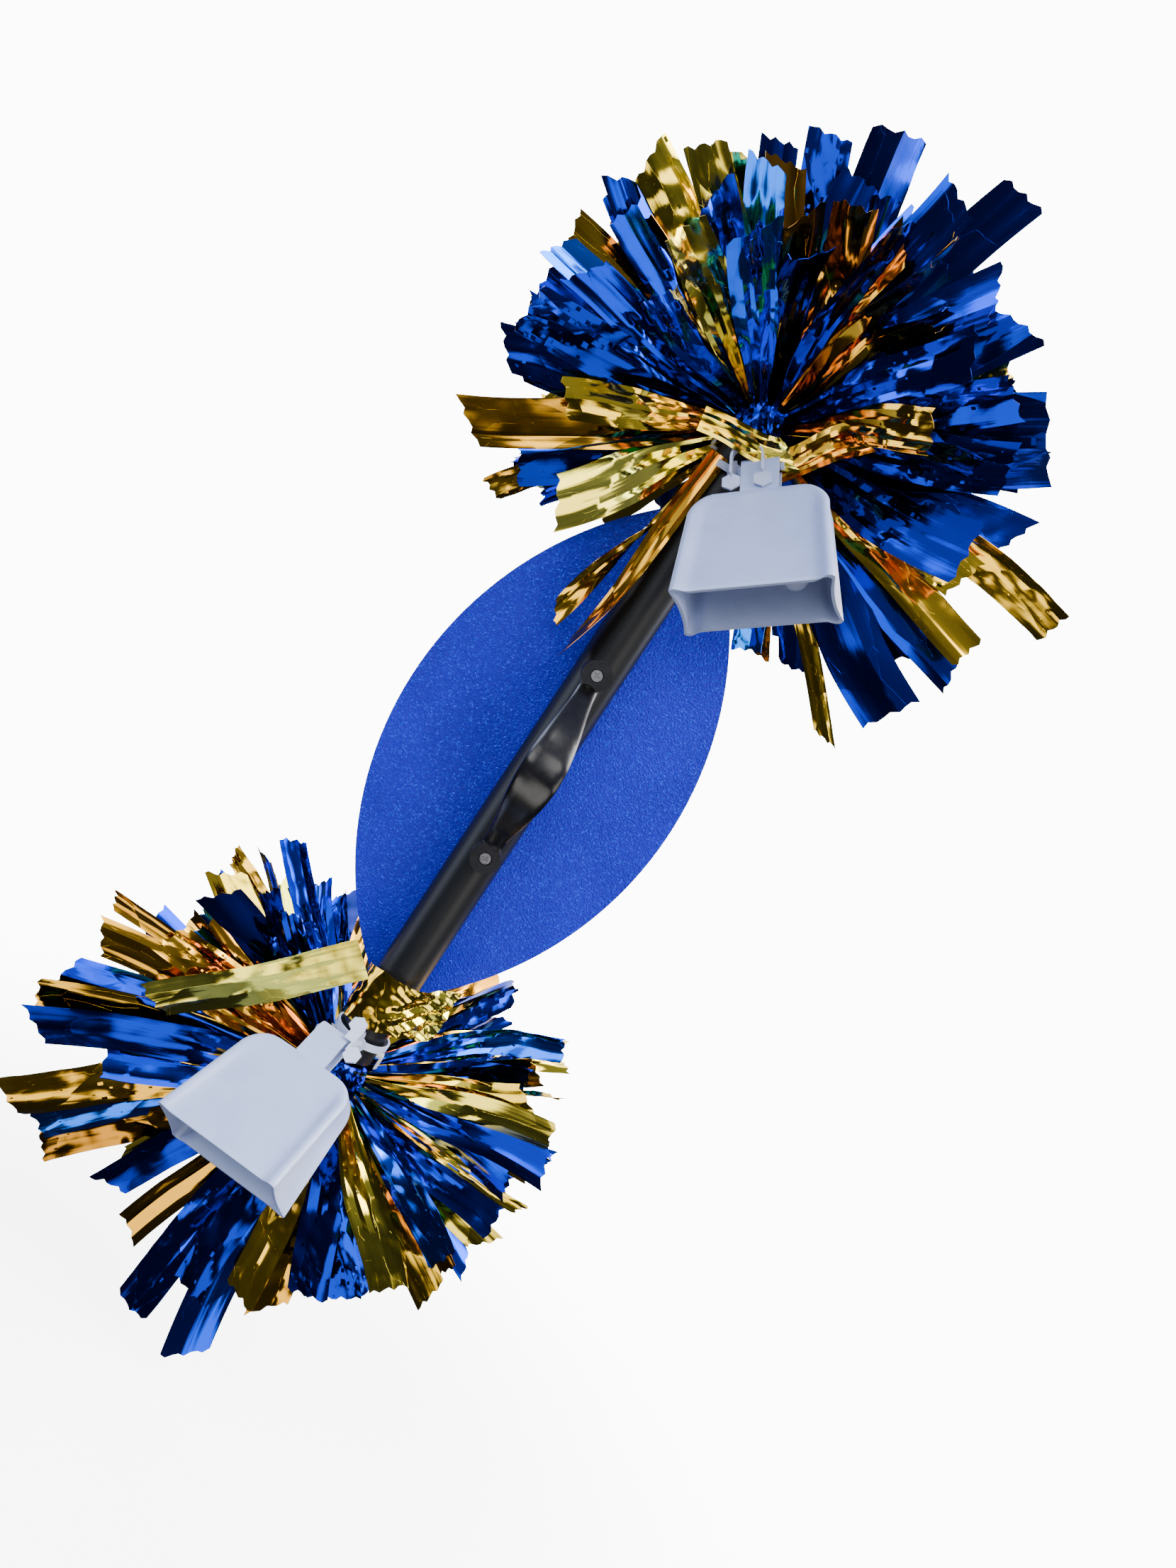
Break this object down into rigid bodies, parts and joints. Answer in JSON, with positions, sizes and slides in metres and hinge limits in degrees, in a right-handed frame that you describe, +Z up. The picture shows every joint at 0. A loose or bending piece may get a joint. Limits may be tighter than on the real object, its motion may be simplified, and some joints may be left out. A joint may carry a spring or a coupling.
{
  "type": "cheer pom pom shaker",
  "caption": "Hand-held spirit shaker: a tube with a grip strap and a ball-shaped back panel, a blue and gold foil pom at each end and a cowbell tied near each end.",
  "frame": {"origin": "middle of the tube, on its axis, halfway between the grip screws", "axes": "+Z up the tube, -Y to the front where the grip strap is, +X to the right seen from the front"},
  "size_m": [0.2943, 0.2901, 0.6103],
  "materials": {
    "tube_black": "matte, lightly scuffed",
    "panel_blue": "fine sparkling pebble",
    "grip_black": "gloss",
    "fastener_steel": "satin",
    "tie_white": "translucent satin",
    "bell_plastic": "satin, fine moulded grain",
    "foil_blue": "metallised film, crinkled",
    "foil_gold": "metallised film, crinkled"
  },
  "bodies": {
    "shaker": {"tube": "tube_black", "football_panel": "panel_blue", "grip_strap": "grip_black", "upper_grip_cap": "grip_black", "lower_grip_cap": "grip_black", "upper_grip_screw": "fastener_steel", "lower_grip_screw": "fastener_steel", "upper_back_washer": "fastener_steel", "lower_back_washer": "fastener_steel", "upper_grip_nut": "fastener_steel", "lower_grip_nut": "fastener_steel", "upper_pom_knot": "foil_blue", "upper_pom_cable_tie": "tie_white", "upper_blue_strands": "foil_blue", "upper_gold_strands": "foil_gold", "upper_tie_collar": "tie_white", "lower_pom_knot": "foil_blue", "lower_pom_cable_tie": "tie_white", "lower_blue_strands": "foil_blue", "lower_gold_strands": "foil_gold", "lower_tie_collar": "tie_white"},
    "upper_tie": {"upper_tie_link": "tie_white"},
    "upper_bell": {"upper_tie_ends": "tie_white", "upper_bell_band": "bell_plastic", "upper_bell_shell": "bell_plastic", "upper_clapper_pin": "fastener_steel"},
    "upper_clapper": {"upper_clapper": "bell_plastic"},
    "lower_tie": {"lower_tie_link": "tie_white"},
    "lower_bell": {"lower_tie_ends": "tie_white", "lower_bell_band": "bell_plastic", "lower_bell_shell": "bell_plastic", "lower_clapper_pin": "fastener_steel"},
    "lower_clapper": {"lower_clapper": "bell_plastic"}
  },
  "joints": [
    {"name": "upper_tie_swing", "type": "hinge", "parent": "shaker", "child": "upper_tie", "pos_m": [0, 0, 0.142], "axis": [0, 1, 0], "range_deg": [-6, 84]},
    {"name": "upper_bell_swing", "type": "hinge", "parent": "upper_tie", "child": "upper_bell", "pos_m": [0.00738, -0.02189, 0.14798], "axis": [0.7391, -0.309, 0.5985], "range_deg": [-28, 25]},
    {"name": "upper_clapper_swing", "type": "hinge", "parent": "upper_bell", "child": "upper_clapper", "pos_m": [0.01504, -0.03477, 0.13187], "axis": [0.5767, 0.7494, -0.3252], "range_deg": [-10, 58]},
    {"name": "lower_tie_swing", "type": "hinge", "parent": "shaker", "child": "lower_tie", "pos_m": [0, 0, -0.142], "axis": [0, 1, 0], "range_deg": [-37, 53]},
    {"name": "lower_bell_swing", "type": "hinge", "parent": "lower_tie", "child": "lower_bell", "pos_m": [-0.0104, -0.01932, -0.14346], "axis": [0.8938, -0.4305, 0.1256], "range_deg": [-21, 30]},
    {"name": "lower_clapper_swing", "type": "hinge", "parent": "lower_bell", "child": "lower_clapper", "pos_m": [-0.01486, -0.03336, -0.1598], "axis": [0.3999, 0.6382, -0.6579], "range_deg": [-34, 34]}
  ]
}
